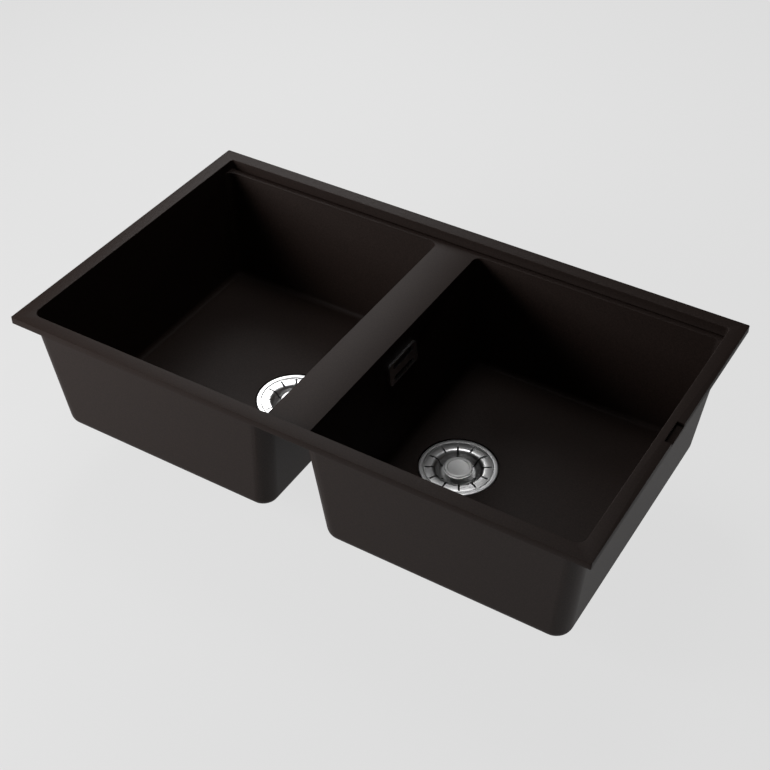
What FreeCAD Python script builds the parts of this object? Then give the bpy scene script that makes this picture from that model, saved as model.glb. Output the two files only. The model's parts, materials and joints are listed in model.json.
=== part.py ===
# Double bowl kitchen sink, 860 x 500 mm, moulded in dark granite composite, with a basket
# strainer waste in each bowl and an overflow in the divider wall of the right bowl.
# Origin: centre of the rim's top face. +X to the right bowl, +Y to the rear, +Z up.
import FreeCAD, Part
import os
from math import cos, radians, sin, tan

import Sketcher

V = FreeCAD.Vector

sizes = {
    # moulded sink
    "rim_length": 860.0,
    "rim_width": 500.0,
    "rim_band": 21.0,
    "rear_band": 20.0,
    "rim_corner": 2.0,
    "flange_thick": 10.0,
    "ledge_drop": 14.0,
    "ledge_depth": 13.0,
    "land_thick": 9.0,
    "land_inset": 1.0,
    "groove_width": 2.0,
    "groove_depth": 2.0,
    "groove_corner": 0.5,
    "divider_width": 64.0,
    "body_depth": 200.0,
    "wall_thick": 7.0,
    "floor_thick": 9.0,
    "wall_draft": 5.5,
    "bowl_radius": 12.0,
    "riser_radius": 5.0,
    "shell_radius": 24.0,
    "floor_fillet": 9.0,
    "base_fillet": 18.0,
    "lip_fillet": 1.2,
    "notch_length": 42.0,
    "notch_width": 10.0,
    "notch_depth": 5.0,
    # drains
    "drain_x": 137.0,
    "drain_y": -14.0,
    "hole_clear": 0.6,
    "recess_depth": 4.0,
    "recess_gap": 1.5,
    # waste flange and cup
    "ring_band": 6.2,
    "ring_edge": 1.6,
    "ring_crest": 0.4,
    "sheet_gauge": 1.0,
    "throat_radius": 43.4,
    "seat_run": 3.6,
    "seat_fall": 2.0,
    "cup_depth": 37.0,
    "cup_corner": 6.0,
    "grid_circle": 22.0,
    "grid_hole": 5.0,
    "grid_count": 8.0,
    "seal_thick": 1.4,
    "seal_clear": 0.6,
    "seal_width": 7.0,
    "under_seal": 2.0,
    # strainer basket
    "brim_land": 1.2,
    "brim_play": 0.2,
    "dish_radius": 38.0,
    "dish_floor": 22.0,
    "dish_depth": 12.0,
    "basket_gauge": 1.0,
    "slot_width": 2.7,
    "slot_margin": 1.6,
    "slot_short": 33.0,
    "slot_long": 23.6,
    "slot_pairs": 6.0,
    # lift post, knob and stopper
    "knob_radius": 20.0,
    "knob_thick": 5.0,
    "knob_edge": 1.5,
    "knob_dish": 15.5,
    "knob_dish_depth": 0.6,
    "hub_radius": 7.0,
    "post_radius": 3.0,
    "post_play": 0.05,
    "post_collar": 5.0,
    "collar_thick": 1.2,
    "guide_radius": 6.0,
    "guide_flange": 9.0,
    "guide_top": 1.5,
    "guide_chamfer": 0.5,
    "guide_below": 4.0,
    "rest_gap": 0.3,
    "stopper_radius": 30.0,
    "stopper_web": 2.2,
    "stopper_lip": 3.4,
    "stopper_recess": 11.0,
    "stopper_gap": 0.2,
    # waste body under the bowl
    "clamp_radius": 3.0,
    "clamp_length": 24.0,
    "clamp_head": 6.0,
    "clamp_head_thick": 2.0,
    "clamp_chamfer": 0.7,
    "cross_reach": 2.6,
    "cross_width": 1.2,
    "cross_depth": 1.2,
    "insert_radius": 5.0,
    "insert_length": 16.0,
    "screw_play": 0.3,
    "screw_room": 2.0,
    "cup_clear": 1.1,
    "housing_wall": 3.0,
    "housing_brim": 8.5,
    "housing_flange_thick": 5.0,
    "housing_depth": 72.0,
    "housing_corner": 4.0,
    "rib_count": 8.0,
    "rib_thick": 2.4,
    "rib_height": 9.0,
    "rib_inset": 1.5,
    "boss_radius": 8.0,
    "outlet_radius": 20.0,
    "outlet_wall": 3.0,
    "outlet_spigot": 30.0,
    "outlet_neck": 5.0,
    "neck_step": 2.5,
    "tube_radius": 11.0,
    "tube_wall": 2.0,
    "inlet_length": 16.0,
    "inlet_drop": 53.0,
    # overflow
    "overflow_z": -56.5,
    "cover_length": 72.0,
    "cover_height": 34.0,
    "cover_depth": 3.2,
    "cover_gauge": 0.8,
    "cover_corner": 6.0,
    "cover_slot_length": 52.0,
    "cover_slot_height": 8.0,
    "cover_slot_pitch": 20.0,
    "frame_thick": 1.2,
    "fit_gap": 0.3,
    "window_length": 60.0,
    "window_height": 25.0,
    "window_clear": 36.0,
    "fixing_reach": 26.0,
    "fixing_radius": 1.8,
    "fixing_head": 3.2,
    "fixing_head_thick": 0.9,
    "fixing_cross_reach": 1.8,
    "fixing_cross_width": 0.8,
    "fixing_cross_depth": 0.5,
    "fixing_length": 20.0,
    "gasket_thick": 2.0,
    "elbow_plate_length": 76.0,
    "elbow_plate_height": 36.0,
    "elbow_plate_thick": 3.0,
    "elbow_wall": 2.5,
    "elbow_corner": 5.0,
    "elbow_round": 3.0,
    "nozzle_length": 30.0,
    "nozzle_inset": 0.5,
    "pipe_bend": 34.0,
    "joint_washer": 2.0,
    "nut_radius": 16.5,
    "nut_length": 18.0,
    "nut_clear": 2.0,
    "nut_grips": 12.0,
    "nut_grip_depth": 1.2,
    # how far a cut runs past the piece
    "cut_past": 1.0,
}

doc = FreeCAD.newDocument("double_bowl_sink")
sheet = doc.addObject("Spreadsheet::Sheet", "Sizes")
for row, (alias, number) in enumerate(sizes.items(), start=1):
    sheet.set(f"A{row}", alias)
    sheet.set(f"B{row}", str(number))
    sheet.setAlias(f"B{row}", alias)
doc.recompute()


class Size:
    """A size worked out from the sheet: its expression and its number."""

    def __init__(self, text, number):
        self.text = text
        self.number = number

    def __add__(self, other):
        other = as_size(other)
        return Size(f"({self.text} + {other.text})", self.number + other.number)

    def __sub__(self, other):
        other = as_size(other)
        return Size(f"({self.text} - {other.text})", self.number - other.number)

    def __mul__(self, other):
        other = as_size(other)
        return Size(f"({self.text} * {other.text})", self.number * other.number)

    def __truediv__(self, other):
        other = as_size(other)
        return Size(f"({self.text} / {other.text})", self.number / other.number)

    def __neg__(self):
        return Size(f"(0 - {self.text})", -self.number)


def as_size(value):
    if isinstance(value, Size):
        return value
    return Size(f"({value})", float(value))


def size(alias):
    return Size(f"Sizes.{alias}", sizes[alias])


zero = as_size(0)
# An edge this close to a level lies at it.
close = 0.05
draft = size("wall_draft")
draft_tan = Size(f"tan({draft.text})", tan(radians(draft.number)))
draft_cos = Size(f"cos({draft.text})", cos(radians(draft.number)))
draft_sin = Size(f"sin({draft.text})", sin(radians(draft.number)))

# ---------------------------------------------------------------- drawing helpers
kept = []


def new_body(label):
    body = doc.addObject("PartDesign::Body", label)
    body.Label = label
    kept.append(body)
    return body


def place(obj, x=zero, y=zero, z=zero):
    """Puts a piece at a point that follows the sheet."""
    obj.Placement = FreeCAD.Placement(V(x.number, y.number, z.number), FreeCAD.Rotation())
    for axis, value in (("x", x), ("y", y), ("z", z)):
        obj.setExpression(f"Placement.Base.{axis}", value.text)


def lean(obj):
    """Tilts a placed piece about Y so that its X axis is square to the divider wall."""
    obj.Placement = FreeCAD.Placement(obj.Placement.Base, FreeCAD.Rotation(V(0, 1, 0), -draft.number))
    obj.setExpression("Placement.Rotation.Axis.x", "0")
    obj.setExpression("Placement.Rotation.Axis.y", "1")
    obj.setExpression("Placement.Rotation.Axis.z", "0")
    obj.setExpression("Placement.Rotation.Angle", (-draft).text)


def new_sketch(body, name, role, offset=zero):
    """Opens a sketch on one of the body's own planes, lifted along the plane's normal."""
    sketch = body.newObject("Sketcher::SketchObject", f"{body.Name}_{name}")
    plane = next(f for f in body.Origin.OriginFeatures if f.Role == role)
    sketch.AttachmentSupport = [(plane, "")]
    sketch.MapMode = "FlatFace"
    sketch.AttachmentOffset = FreeCAD.Placement(V(0, 0, offset.number), FreeCAD.Rotation())
    sketch.setExpression("AttachmentOffset.Base.z", offset.text)
    return sketch


def bind(sketch, kind, geometry, vertex, value):
    index = sketch.addConstraint(Sketcher.Constraint(kind, -1, 1, geometry, vertex, value.number))
    sketch.setExpression(f"Constraints[{index}]", value.text)


def draw_path(sketch, start, steps, closed=True):
    """Draws lines and arcs. A step is (x, y) or (x, y, centre_x, centre_y, turn), turn 1 for left."""
    here = V(start[0].number, start[1].number, 0)
    first = None
    joint = None
    for count, step in enumerate(steps, start=1):
        goal = V(step[0].number, step[1].number, 0)
        is_arc = len(step) > 2
        if is_arc:
            centre = V(step[2].number, step[3].number, 0)
            radius = (here - centre).Length
            ends = [(here - centre), (goal - centre)]
            if step[4] < 0:
                ends.reverse()
            spans = [FreeCAD.Vector(1, 0, 0).getAngle(e) * (1 if e.y >= 0 else -1) for e in ends]
            circle = Part.Circle(centre, V(0, 0, 1), radius)
            index = sketch.addGeometry(Part.ArcOfCircle(circle, spans[0], spans[1]))
            near, far = (1, 2) if step[4] > 0 else (2, 1)
        else:
            index = sketch.addGeometry(Part.LineSegment(here, goal))
            near, far = 1, 2
        if joint is None:
            first = (index, near)
            bind(sketch, "DistanceX", index, near, start[0])
            bind(sketch, "DistanceY", index, near, start[1])
        else:
            sketch.addConstraint(Sketcher.Constraint("Coincident", joint[0], joint[1], index, near))
        if is_arc:
            bind(sketch, "DistanceX", index, 3, step[2])
            bind(sketch, "DistanceY", index, 3, step[3])
            reach = goal - centre
            if abs(reach.x) >= abs(reach.y):
                bind(sketch, "DistanceY", index, far, step[1])
            else:
                bind(sketch, "DistanceX", index, far, step[0])
        elif closed and count == len(steps):
            sketch.addConstraint(Sketcher.Constraint("Coincident", index, far, first[0], first[1]))
        else:
            bind(sketch, "DistanceX", index, far, step[0])
            bind(sketch, "DistanceY", index, far, step[1])
        joint = (index, far)
        here = goal


def draw_rectangle(sketch, x0, x1, y0, y1):
    draw_path(sketch, (x0, y0), [(x1, y0), (x1, y1), (x0, y1), (x0, y0)])


def draw_box(sketch, x0, x1, y0, y1, radius):
    """Draws a rectangle with rounded corners."""
    start = (x0, y0 + radius)
    draw_path(sketch, start, [
        (x0 + radius, y0, x0 + radius, y0 + radius, 1),
        (x1 - radius, y0),
        (x1, y0 + radius, x1 - radius, y0 + radius, 1),
        (x1, y1 - radius),
        (x1 - radius, y1, x1 - radius, y1 - radius, 1),
        (x0 + radius, y1),
        (x0, y1 - radius, x0 + radius, y1 - radius, 1),
        start,
    ])


def draw_slot(sketch, x0, x1, y_middle, radius):
    """Draws a slot with half-round ends, from x0 to x1."""
    start = (x1 - radius, y_middle + radius)
    draw_path(sketch, start, [
        (x0 + radius, y_middle + radius),
        (x0 + radius, y_middle - radius, x0 + radius, y_middle, 1),
        (x1 - radius, y_middle - radius),
    ], closed=False)
    end_arc = Part.ArcOfCircle(
        Part.Circle(V((x1 - radius).number, y_middle.number, 0), V(0, 0, 1), radius.number),
        radians(-90), radians(90))
    index = sketch.addGeometry(end_arc)
    sketch.addConstraint(Sketcher.Constraint("Coincident", index - 1, 2, index, 1))
    sketch.addConstraint(Sketcher.Constraint("Coincident", index - 3, 1, index, 2))
    bind(sketch, "DistanceX", index, 3, x1 - radius)


def draw_circle(sketch, x, y, radius):
    index = sketch.addGeometry(Part.Circle(V(x.number, y.number, 0), V(0, 0, 1), radius.number))
    bind(sketch, "DistanceX", index, 3, x)
    bind(sketch, "DistanceY", index, 3, y)
    constraint = sketch.addConstraint(Sketcher.Constraint("Radius", index, radius.number))
    sketch.setExpression(f"Constraints[{constraint}]", radius.text)


def draw_cross(sketch, x, reach, width):
    """Draws the outline of a screw's cross recess, centred at x on the sketch's own X axis."""
    arm, half = reach, width / 2
    corners = ((half, arm), (half, half), (arm, half), (arm, -half), (half, -half), (half, -arm),
               (-half, -arm), (-half, -half), (-arm, -half), (-arm, half), (-half, half), (-half, arm))
    points = [(x + across, up) for across, up in corners]
    draw_path(sketch, points[-1], points)


def pad(body, sketch, length, reverse=False):
    feature = body.newObject("PartDesign::Pad", f"{sketch.Name}_pad")
    extrude(feature, sketch, length, reverse)
    return feature


def pocket(body, sketch, length, reverse=False):
    """Cuts a sketch into the body and makes sure that it took material away."""
    before = body.Shape.Volume
    feature = body.newObject("PartDesign::Pocket", f"{sketch.Name}_pocket")
    extrude(feature, sketch, length, reverse)
    if feature.Shape.Volume >= before:
        raise ValueError(f"{feature.Name} cuts nothing")
    return feature


def extrude(feature, sketch, length, reverse):
    feature.Profile = sketch
    feature.Length = length.number
    feature.setExpression("Length", length.text)
    feature.Reversed = reverse
    doc.recompute()


def revolve(body, sketch, kind="PartDesign::Revolution"):
    feature = body.newObject(kind, f"{sketch.Name}_turn")
    feature.Profile = sketch
    feature.ReferenceAxis = (sketch, ["V_Axis"])
    feature.Angle = 360
    doc.recompute()
    return feature


def repeat_round(body, feature, count):
    """Repeats a feature evenly round the body's Z axis."""
    pattern = body.newObject("PartDesign::PolarPattern", f"{feature.Name}_ring")
    pattern.Originals = [feature]
    axis = next(f for f in body.Origin.OriginFeatures if f.Role == "Z_Axis")
    pattern.Axis = (axis, [""])
    pattern.Angle = 360
    pattern.Occurrences = int(count.number)
    pattern.setExpression("Occurrences", count.text)
    body.Tip = pattern
    doc.recompute()
    return pattern


def fillet(body, name, radius, picks):
    """Rounds the edges of the body's last feature that picks(edge) accepts."""
    base = body.Tip
    edges = [f"Edge{n}" for n, edge in enumerate(base.Shape.Edges, start=1) if picks(edge)]
    feature = body.newObject("PartDesign::Fillet", f"{body.Name}_{name}")
    feature.Base = (base, edges)
    feature.Radius = radius.number
    feature.setExpression("Radius", radius.text)
    doc.recompute()
    return feature


# ---------------------------------------------------------------- moulded sink
half_length = size("rim_length") / 2
half_width = size("rim_width") / 2
basin_side = half_length - size("rim_band")
basin_front = -(half_width - size("rim_band"))
riser_top = half_width - size("rear_band")
ledge_front = riser_top - size("ledge_depth")
divider_half = size("divider_width") / 2
ledge_z = -size("ledge_drop")
base_z = -size("body_depth")
floor_z = base_z + size("floor_thick")
wall = size("wall_thick")
bowls = (("left", -1), ("right", 1))

# The waste's heights are counted from the bowl's floor, and its radii grow outward from the cup's throat.
seat_level = -size("recess_depth")
ring_under = seat_level + size("seal_thick")
brim_seat = ring_under + size("sheet_gauge")
brim_top = brim_seat + size("basket_gauge")
ring_top = brim_top + size("ring_crest")
cup_floor = -size("cup_depth")
cup_under = cup_floor - size("sheet_gauge")
cup_outside = size("throat_radius") + size("sheet_gauge")
drain_hole = cup_outside + size("hole_clear")
seat_inner = size("throat_radius") + size("seat_run")
brim_radius = seat_inner + size("brim_land")
ring_step = brim_radius + size("brim_play")
ring_inner = ring_step + ring_top - brim_seat
ring_radius = ring_inner + size("ring_band")
seal_inner = seat_inner + size("seal_clear")
sink_under = -size("floor_thick")
housing_top = sink_under - size("under_seal")
housing_bottom = -size("housing_depth")
housing_radius = cup_outside + size("cup_clear") + size("housing_wall")
dish_bottom = brim_top - size("dish_depth") + size("basket_gauge")
guide_high = dish_bottom + size("guide_top")


def inward(z):
    """How far the drafted walls have come in at level z, counted from the rim."""
    return -z * draft_tan


def bowl_outline(side, grow):
    """A bowl's outline carried up to the rim's level: grow is 0 for the inside, the wall for the outside."""
    outer = basin_side + grow
    inner = divider_half - inward(ledge_z) - grow
    front = basin_front - grow
    rear = ledge_front + inward(ledge_z) + grow
    if side < 0:
        return -outer, -inner, front, rear
    return inner, outer, front, rear


def lies_at(edge, z):
    box = edge.BoundBox
    return abs(box.ZMin - z) < close and abs(box.ZMax - z) < close


def drafted_block(name, outline, bottom, front_corner, rear_corner, foot=None):
    """A block whose walls come in from the rim's level to the bottom, with rounded corners and foot."""
    block = doc.addObject("PartDesign::Body", f"sink_{name}")
    wedge = block.newObject("PartDesign::AdditiveWedge", f"{block.Name}_wedge")
    wedge.Placement = FreeCAD.Placement(V(0, 0, 0), FreeCAD.Rotation(V(1, 0, 0), -90))
    x0, x1, y0, y1 = outline
    inset = inward(bottom)
    levels = {
        "Xmin": x0, "Xmax": x1, "Zmin": y0, "Zmax": y1, "Ymin": zero, "Ymax": -bottom,
        "X2min": x0 + inset, "X2max": x1 - inset, "Z2min": y0 + inset, "Z2max": y1 - inset,
    }
    for limit, value in levels.items():
        setattr(wedge, limit, value.number)
        wedge.setExpression(limit, value.text)
    doc.recompute()
    fillet(block, "front_corners", front_corner, lambda edge: leans(edge) and edge.BoundBox.YMax < 0)
    fillet(block, "rear_corners", rear_corner, lambda edge: leans(edge) and edge.BoundBox.YMin > 0)
    if foot is not None:
        fillet(block, "foot", foot, lambda edge: lies_at(edge, bottom.number))
    return block


def combine(body, name, kind, blocks):
    """Adds blocks to the body (kind 0) or cuts them out of it (kind 1)."""
    feature = body.newObject("PartDesign::Boolean", f"{body.Name}_{name}")
    feature.setObjects(blocks)
    feature.Type = kind
    doc.recompute()
    return feature


def build_sink():
    body = new_body("sink_body")
    rim = new_sketch(body, "rim", "XY_Plane")
    draw_box(rim, -half_length, half_length, -half_width, half_width, size("rim_corner"))
    pad(body, rim, size("flange_thick"), reverse=True)

    inset = wall - size("land_inset")
    land = (-basin_side - inset, basin_side + inset, basin_front - inset, riser_top + wall)
    corner = size("shell_radius")
    outside = [drafted_block("land", land, ledge_z - size("land_thick"), corner, corner)]
    for name, side in bowls:
        outside.append(drafted_block(f"{name}_shell", bowl_outline(side, wall), base_z,
                                     corner, corner, size("base_fillet")))
    combine(body, "outside", 0, outside)

    basin = (-basin_side, basin_side, basin_front, riser_top)
    corner = size("bowl_radius")
    inside = [drafted_block("basin", basin, ledge_z, corner, size("riser_radius"))]
    for name, side in bowls:
        inside.append(drafted_block(f"{name}_bowl", bowl_outline(side, zero), floor_z,
                                    corner, corner, size("floor_fillet")))
    combine(body, "inside", 1, inside)

    add_groove(body)
    add_drain_seats(body)
    add_overflow_window(body)
    add_notch(body)
    fillet(body, "lips", size("lip_fillet"), is_lip)
    return body


def leans(edge):
    """A drafted corner edge: it runs down, and slants as it does."""
    way = edge.valueAt(edge.LastParameter) - edge.valueAt(edge.FirstParameter)
    return way.Length > 0 and 0.5 < abs(way.z) / way.Length < 0.9999


def is_lip(edge):
    """The rim's inner edge."""
    box = edge.BoundBox
    widest = max(abs(box.XMin), abs(box.XMax))
    return lies_at(edge, 0.0) and widest < basin_side.number + close and box.YMax < riser_top.number + close


def add_groove(body):
    """A narrow groove at the foot of the rear riser, right across both bowls."""
    sketch = new_sketch(body, "groove", "XY_Plane", ledge_z)
    side = basin_side - inward(ledge_z) - size("riser_radius")
    rear = riser_top - inward(ledge_z)
    draw_box(sketch, -side, side, rear - size("groove_width"), rear, size("groove_corner"))
    pocket(body, sketch, size("groove_depth"))


def add_drain_seats(body):
    seat = new_sketch(body, "seats", "XY_Plane", floor_z)
    hole = new_sketch(body, "drains", "XY_Plane", floor_z)
    for name, side in bowls:
        centre = size("drain_x") * side
        draw_circle(seat, centre, size("drain_y"), ring_radius + size("recess_gap"))
        draw_circle(hole, centre, size("drain_y"), drain_hole)
    pocket(body, seat, size("recess_depth"))
    pocket(body, hole, size("floor_thick") + size("cut_past"))


def add_overflow_window(body):
    """The opening behind the overflow cover, through the right bowl's divider wall only."""
    clear = divider_half + size("window_clear")
    sketch = new_sketch(body, "window", "YZ_Plane", clear)
    draw_slot(sketch, -size("window_length") / 2, size("window_length") / 2,
              size("overflow_z"), size("window_height") / 2)
    pocket(body, sketch, clear)


def add_notch(body):
    """A shallow rebate in the top outer edge of the right short side."""
    sketch = new_sketch(body, "notch", "XY_Plane")
    half = size("notch_length") / 2
    draw_rectangle(sketch, half_length - size("notch_width"), half_length + size("cut_past"), -half, half)
    pocket(body, sketch, size("notch_depth"))


# ---------------------------------------------------------------- waste, from the floor's level
def place_at_drain(obj, side):
    place(obj, size("drain_x") * side, size("drain_y"), floor_z)


def turned(label, start, steps):
    """A piece turned from one profile."""
    body = new_body(label)
    sketch = new_sketch(body, "profile", "XZ_Plane")
    draw_path(sketch, start, steps)
    revolve(body, sketch)
    return body


def ring(label, inner, outer, low, high):
    return turned(label, (inner, low), [(outer, low), (outer, high), (inner, high), (inner, low)])


def build_waste_flange(label):
    """Polished ring, sloping seat, throat and cup in one pressing, with a grid of holes in its floor."""
    gauge, edge = size("sheet_gauge"), size("ring_edge")
    throat, corner = size("throat_radius"), size("cup_corner")
    bend_z = cup_floor + corner
    throat_top = brim_seat - size("seat_fall")
    slope = size("seat_fall") / size("seat_run")
    hole = size("clamp_radius") + size("screw_play")
    body = turned(label, (hole, cup_under), [
        (throat - corner, cup_under),
        (cup_outside, bend_z, throat - corner, bend_z, 1),
        (cup_outside, throat_top + gauge * slope - gauge),
        (seat_inner, ring_under),
        (ring_radius, ring_under),
        (ring_radius, ring_top - edge),
        (ring_radius - edge, ring_top, ring_radius - edge, ring_top - edge, 1),
        (ring_inner, ring_top),
        (ring_step, brim_seat),
        (seat_inner, brim_seat),
        (throat, throat_top),
        (throat, bend_z),
        (throat - corner, cup_floor, throat - corner, bend_z, -1),
        (hole, cup_floor),
        (hole, cup_under),
    ])
    grid = new_sketch(body, "grid", "XY_Plane", cup_floor)
    draw_circle(grid, size("grid_circle"), zero, size("grid_hole"))
    holes = pocket(body, grid, gauge + size("cut_past"))
    repeat_round(body, holes, size("grid_count"))
    return body


def build_basket(label):
    """Strainer dish: a flat brim, a wall of two tangent arcs and twelve slots, long and short."""
    gauge = size("basket_gauge")
    top, low = brim_top, dish_bottom
    run = size("dish_radius") - size("dish_floor")
    fall = top - low
    bend = (run * run + fall * fall) / (fall * 4)
    high_x, high_z = size("dish_radius"), top - bend
    low_x, low_z = size("dish_floor"), low + bend
    mid_x, mid_z = (high_x + low_x) / 2, (high_z + low_z) / 2
    share = (bend - gauge) / (bend * 2)
    under_x = high_x + (low_x - high_x) * share
    under_z = high_z + (low_z - high_z) * share
    hole = size("guide_radius")
    body = turned(label, (brim_radius, top - gauge), [
        (brim_radius, top),
        (high_x, top),
        (mid_x, mid_z, high_x, high_z, 1),
        (low_x, low, low_x, low_z, -1),
        (hole, low),
        (hole, low - gauge),
        (low_x, low - gauge),
        (under_x, under_z, low_x, low_z, 1),
        (high_x, top - gauge, high_x, high_z, -1),
        (brim_radius, top - gauge),
    ])
    half = size("slot_width") / 2
    for name, inner in (("long", "slot_long"), ("short", "slot_short")):
        sketch = new_sketch(body, f"{name}_slot", "XY_Plane", top)
        draw_slot(sketch, size(inner), brim_radius - size("slot_margin"), zero, half)
        if name == "short":
            turn_sketch(sketch, size("slot_pairs"))
        cut = pocket(body, sketch, size("dish_depth") + size("cut_past"))
        repeat_round(body, cut, size("slot_pairs"))
    return body


def turn_sketch(sketch, pairs):
    """Turns a sketch by half a step of the pattern that will repeat it."""
    offset = sketch.AttachmentOffset
    sketch.AttachmentOffset = FreeCAD.Placement(offset.Base, FreeCAD.Rotation(V(0, 0, 1), 180 / pairs.number))
    sketch.setExpression("AttachmentOffset.Rotation.Angle", f"180 / {pairs.text}")


def build_guide(label):
    """Plastic bush in the dish's floor that the post slides in."""
    bore = size("post_radius") + size("post_play")
    neck = size("guide_radius")
    brim = size("guide_flange")
    under = dish_bottom - size("basket_gauge")
    low = under - size("guide_below")
    return turned(label, (bore, low), [
        (neck, low),
        (neck, dish_bottom),
        (brim, dish_bottom),
        (brim, guide_high - size("guide_chamfer")),
        (brim - size("guide_chamfer"), guide_high),
        (bore, guide_high),
        (bore, low),
    ])


knob_top = ring_top
hub_low = guide_high + size("rest_gap")
stopper_low = cup_floor + size("stopper_gap")
stopper_web_low = stopper_low + size("stopper_lip")
stopper_web_high = stopper_web_low + size("stopper_web")


def build_knob(label):
    """Flat round lift knob with a shallow dished face and a hub that holds the post."""
    outside, edge = size("knob_radius"), size("knob_edge")
    under = knob_top - size("knob_thick")
    dish = size("knob_dish")
    face = knob_top - size("knob_dish_depth")
    return turned(label, (size("post_radius"), hub_low), [
        (size("hub_radius"), hub_low),
        (size("hub_radius"), under),
        (outside - edge, under),
        (outside, under + edge, outside - edge, under + edge, 1),
        (outside, knob_top - edge),
        (outside - edge, knob_top, outside - edge, knob_top - edge, 1),
        (dish, knob_top),
        (dish - size("knob_dish_depth"), face),
        (zero, face),
        (zero, under + size("knob_dish_depth")),
        (size("post_radius"), under + size("knob_dish_depth")),
        (size("post_radius"), hub_low),
    ])


def build_post(label):
    """Steel pin from the knob to the stopper, which it grips between a collar and a head."""
    pin, collar = size("post_radius"), size("post_collar")
    head_low = stopper_web_low - size("collar_thick")
    collar_high = stopper_web_high + size("collar_thick")
    high = knob_top - size("knob_thick") + size("knob_dish_depth")
    return turned(label, (zero, head_low), [
        (collar, head_low),
        (collar, stopper_web_low),
        (pin, stopper_web_low),
        (pin, stopper_web_high),
        (collar, stopper_web_high),
        (collar, collar_high),
        (pin, collar_high),
        (pin, high),
        (zero, high),
        (zero, head_low),
    ])


def build_stopper(label):
    """Rubber disc that closes the cup's grid, hollow in the middle to clear the clamp screw."""
    outside, recess = size("stopper_radius"), size("stopper_recess")
    slope = size("stopper_web")
    return turned(label, (size("post_radius"), stopper_web_low), [
        (recess, stopper_web_low),
        (recess + slope, stopper_low),
        (outside, stopper_low),
        (outside, stopper_web_high - slope),
        (outside - slope, stopper_web_high),
        (size("post_radius"), stopper_web_high),
        (size("post_radius"), stopper_web_low),
    ])


def build_clamp_screw(label):
    """Screw that pulls the cup down onto the housing's central boss."""
    shank, head = size("clamp_radius"), size("clamp_head")
    high = cup_floor + size("clamp_head_thick")
    low = cup_floor - size("clamp_length")
    body = turned(label, (zero, low), [
        (shank, low),
        (shank, cup_floor),
        (head, cup_floor),
        (head, high - size("clamp_chamfer")),
        (head - size("clamp_chamfer"), high),
        (zero, high),
        (zero, low),
    ])
    cross = new_sketch(body, "cross", "XY_Plane", high)
    draw_cross(cross, zero, size("cross_reach"), size("cross_width"))
    pocket(body, cross, size("cross_depth"))
    return body


def build_insert(label):
    bore = size("clamp_radius") + size("post_play")
    return ring(label, bore, size("insert_radius"), cup_under - size("insert_length"), cup_under)


def build_housing(label, with_inlet):
    """Plastic housing under the sink: flange, cup, central boss, side outlet and overflow inlet."""
    outside, corner = housing_radius, size("housing_corner")
    brim = outside + size("housing_brim")
    under_brim = housing_top - size("housing_flange_thick")
    body = turned(label, (zero, housing_bottom), [
        (outside - corner, housing_bottom),
        (outside, housing_bottom + corner, outside - corner, housing_bottom + corner, 1),
        (outside, under_brim),
        (brim, under_brim),
        (brim, housing_top),
        (zero, housing_top),
        (zero, housing_bottom),
    ])
    neck_radius = size("outlet_radius") + size("neck_step")
    neck_end = outside + size("outlet_neck")
    outlet_z = housing_bottom + neck_radius
    outlet_end = neck_end + size("outlet_spigot")
    inlet_z = -size("inlet_drop")
    inlet_end = outside + size("inlet_length")
    for part, radius, end in (("neck", neck_radius, neck_end), ("outlet", size("outlet_radius"), outlet_end)):
        sketch = new_sketch(body, part, "XZ_Plane")
        draw_circle(sketch, zero, outlet_z, radius)
        pad(body, sketch, end, reverse=True)
    if with_inlet:
        inlet = new_sketch(body, "inlet", "YZ_Plane")
        draw_circle(inlet, zero, inlet_z, size("tube_radius"))
        pad(body, inlet, inlet_end, reverse=True)
    add_brim_ribs(body, under_brim)
    hollow_housing(body)
    inside = (outside + size("boss_radius")) / 2
    bore = new_sketch(body, "outlet_bore", "XZ_Plane", -outlet_end)
    draw_circle(bore, zero, outlet_z, size("outlet_radius") - size("outlet_wall"))
    pocket(body, bore, outlet_end - inside, reverse=True)
    if with_inlet:
        bore = new_sketch(body, "inlet_bore", "YZ_Plane", -inlet_end)
        draw_circle(bore, zero, inlet_z, size("tube_radius") - size("tube_wall"))
        pocket(body, bore, inlet_end - inside, reverse=True)
    return body


def add_brim_ribs(body, under_brim):
    """Gussets that carry the brim from below."""
    rib = new_sketch(body, "rib", "XZ_Plane", -size("rib_thick") / 2)
    inner = housing_radius - size("housing_wall")
    draw_path(rib, (inner, under_brim), [
        (inner, under_brim - size("rib_height")),
        (housing_radius, under_brim - size("rib_height")),
        (housing_radius + size("housing_brim") - size("rib_inset"), under_brim),
        (inner, under_brim),
    ])
    repeat_round(body, pad(body, rib, size("rib_thick")), size("rib_count"))


def hollow_housing(body):
    """Cuts the cavity round the boss, and the boss's bore for the insert and the screw."""
    inside = housing_radius - size("housing_wall")
    corner = size("housing_corner") / 2
    cavity_floor = housing_bottom + size("housing_wall")
    boss, insert = size("boss_radius"), size("insert_radius")
    insert_low = cup_under - size("insert_length")
    hole = size("clamp_radius") + size("screw_play")
    screw_low = cup_floor - size("clamp_length") - size("screw_room")
    sketch = new_sketch(body, "cavity", "XZ_Plane")
    draw_path(sketch, (zero, housing_top), [
        (zero, screw_low),
        (hole, screw_low),
        (hole, insert_low),
        (insert, insert_low),
        (insert, cup_under),
        (boss, cup_under),
        (boss, cavity_floor),
        (inside - corner, cavity_floor),
        (inside, cavity_floor + corner, inside - corner, cavity_floor + corner, 1),
        (inside, housing_top),
        (zero, housing_top),
    ])
    revolve(body, sketch, "PartDesign::Groove")


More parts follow.
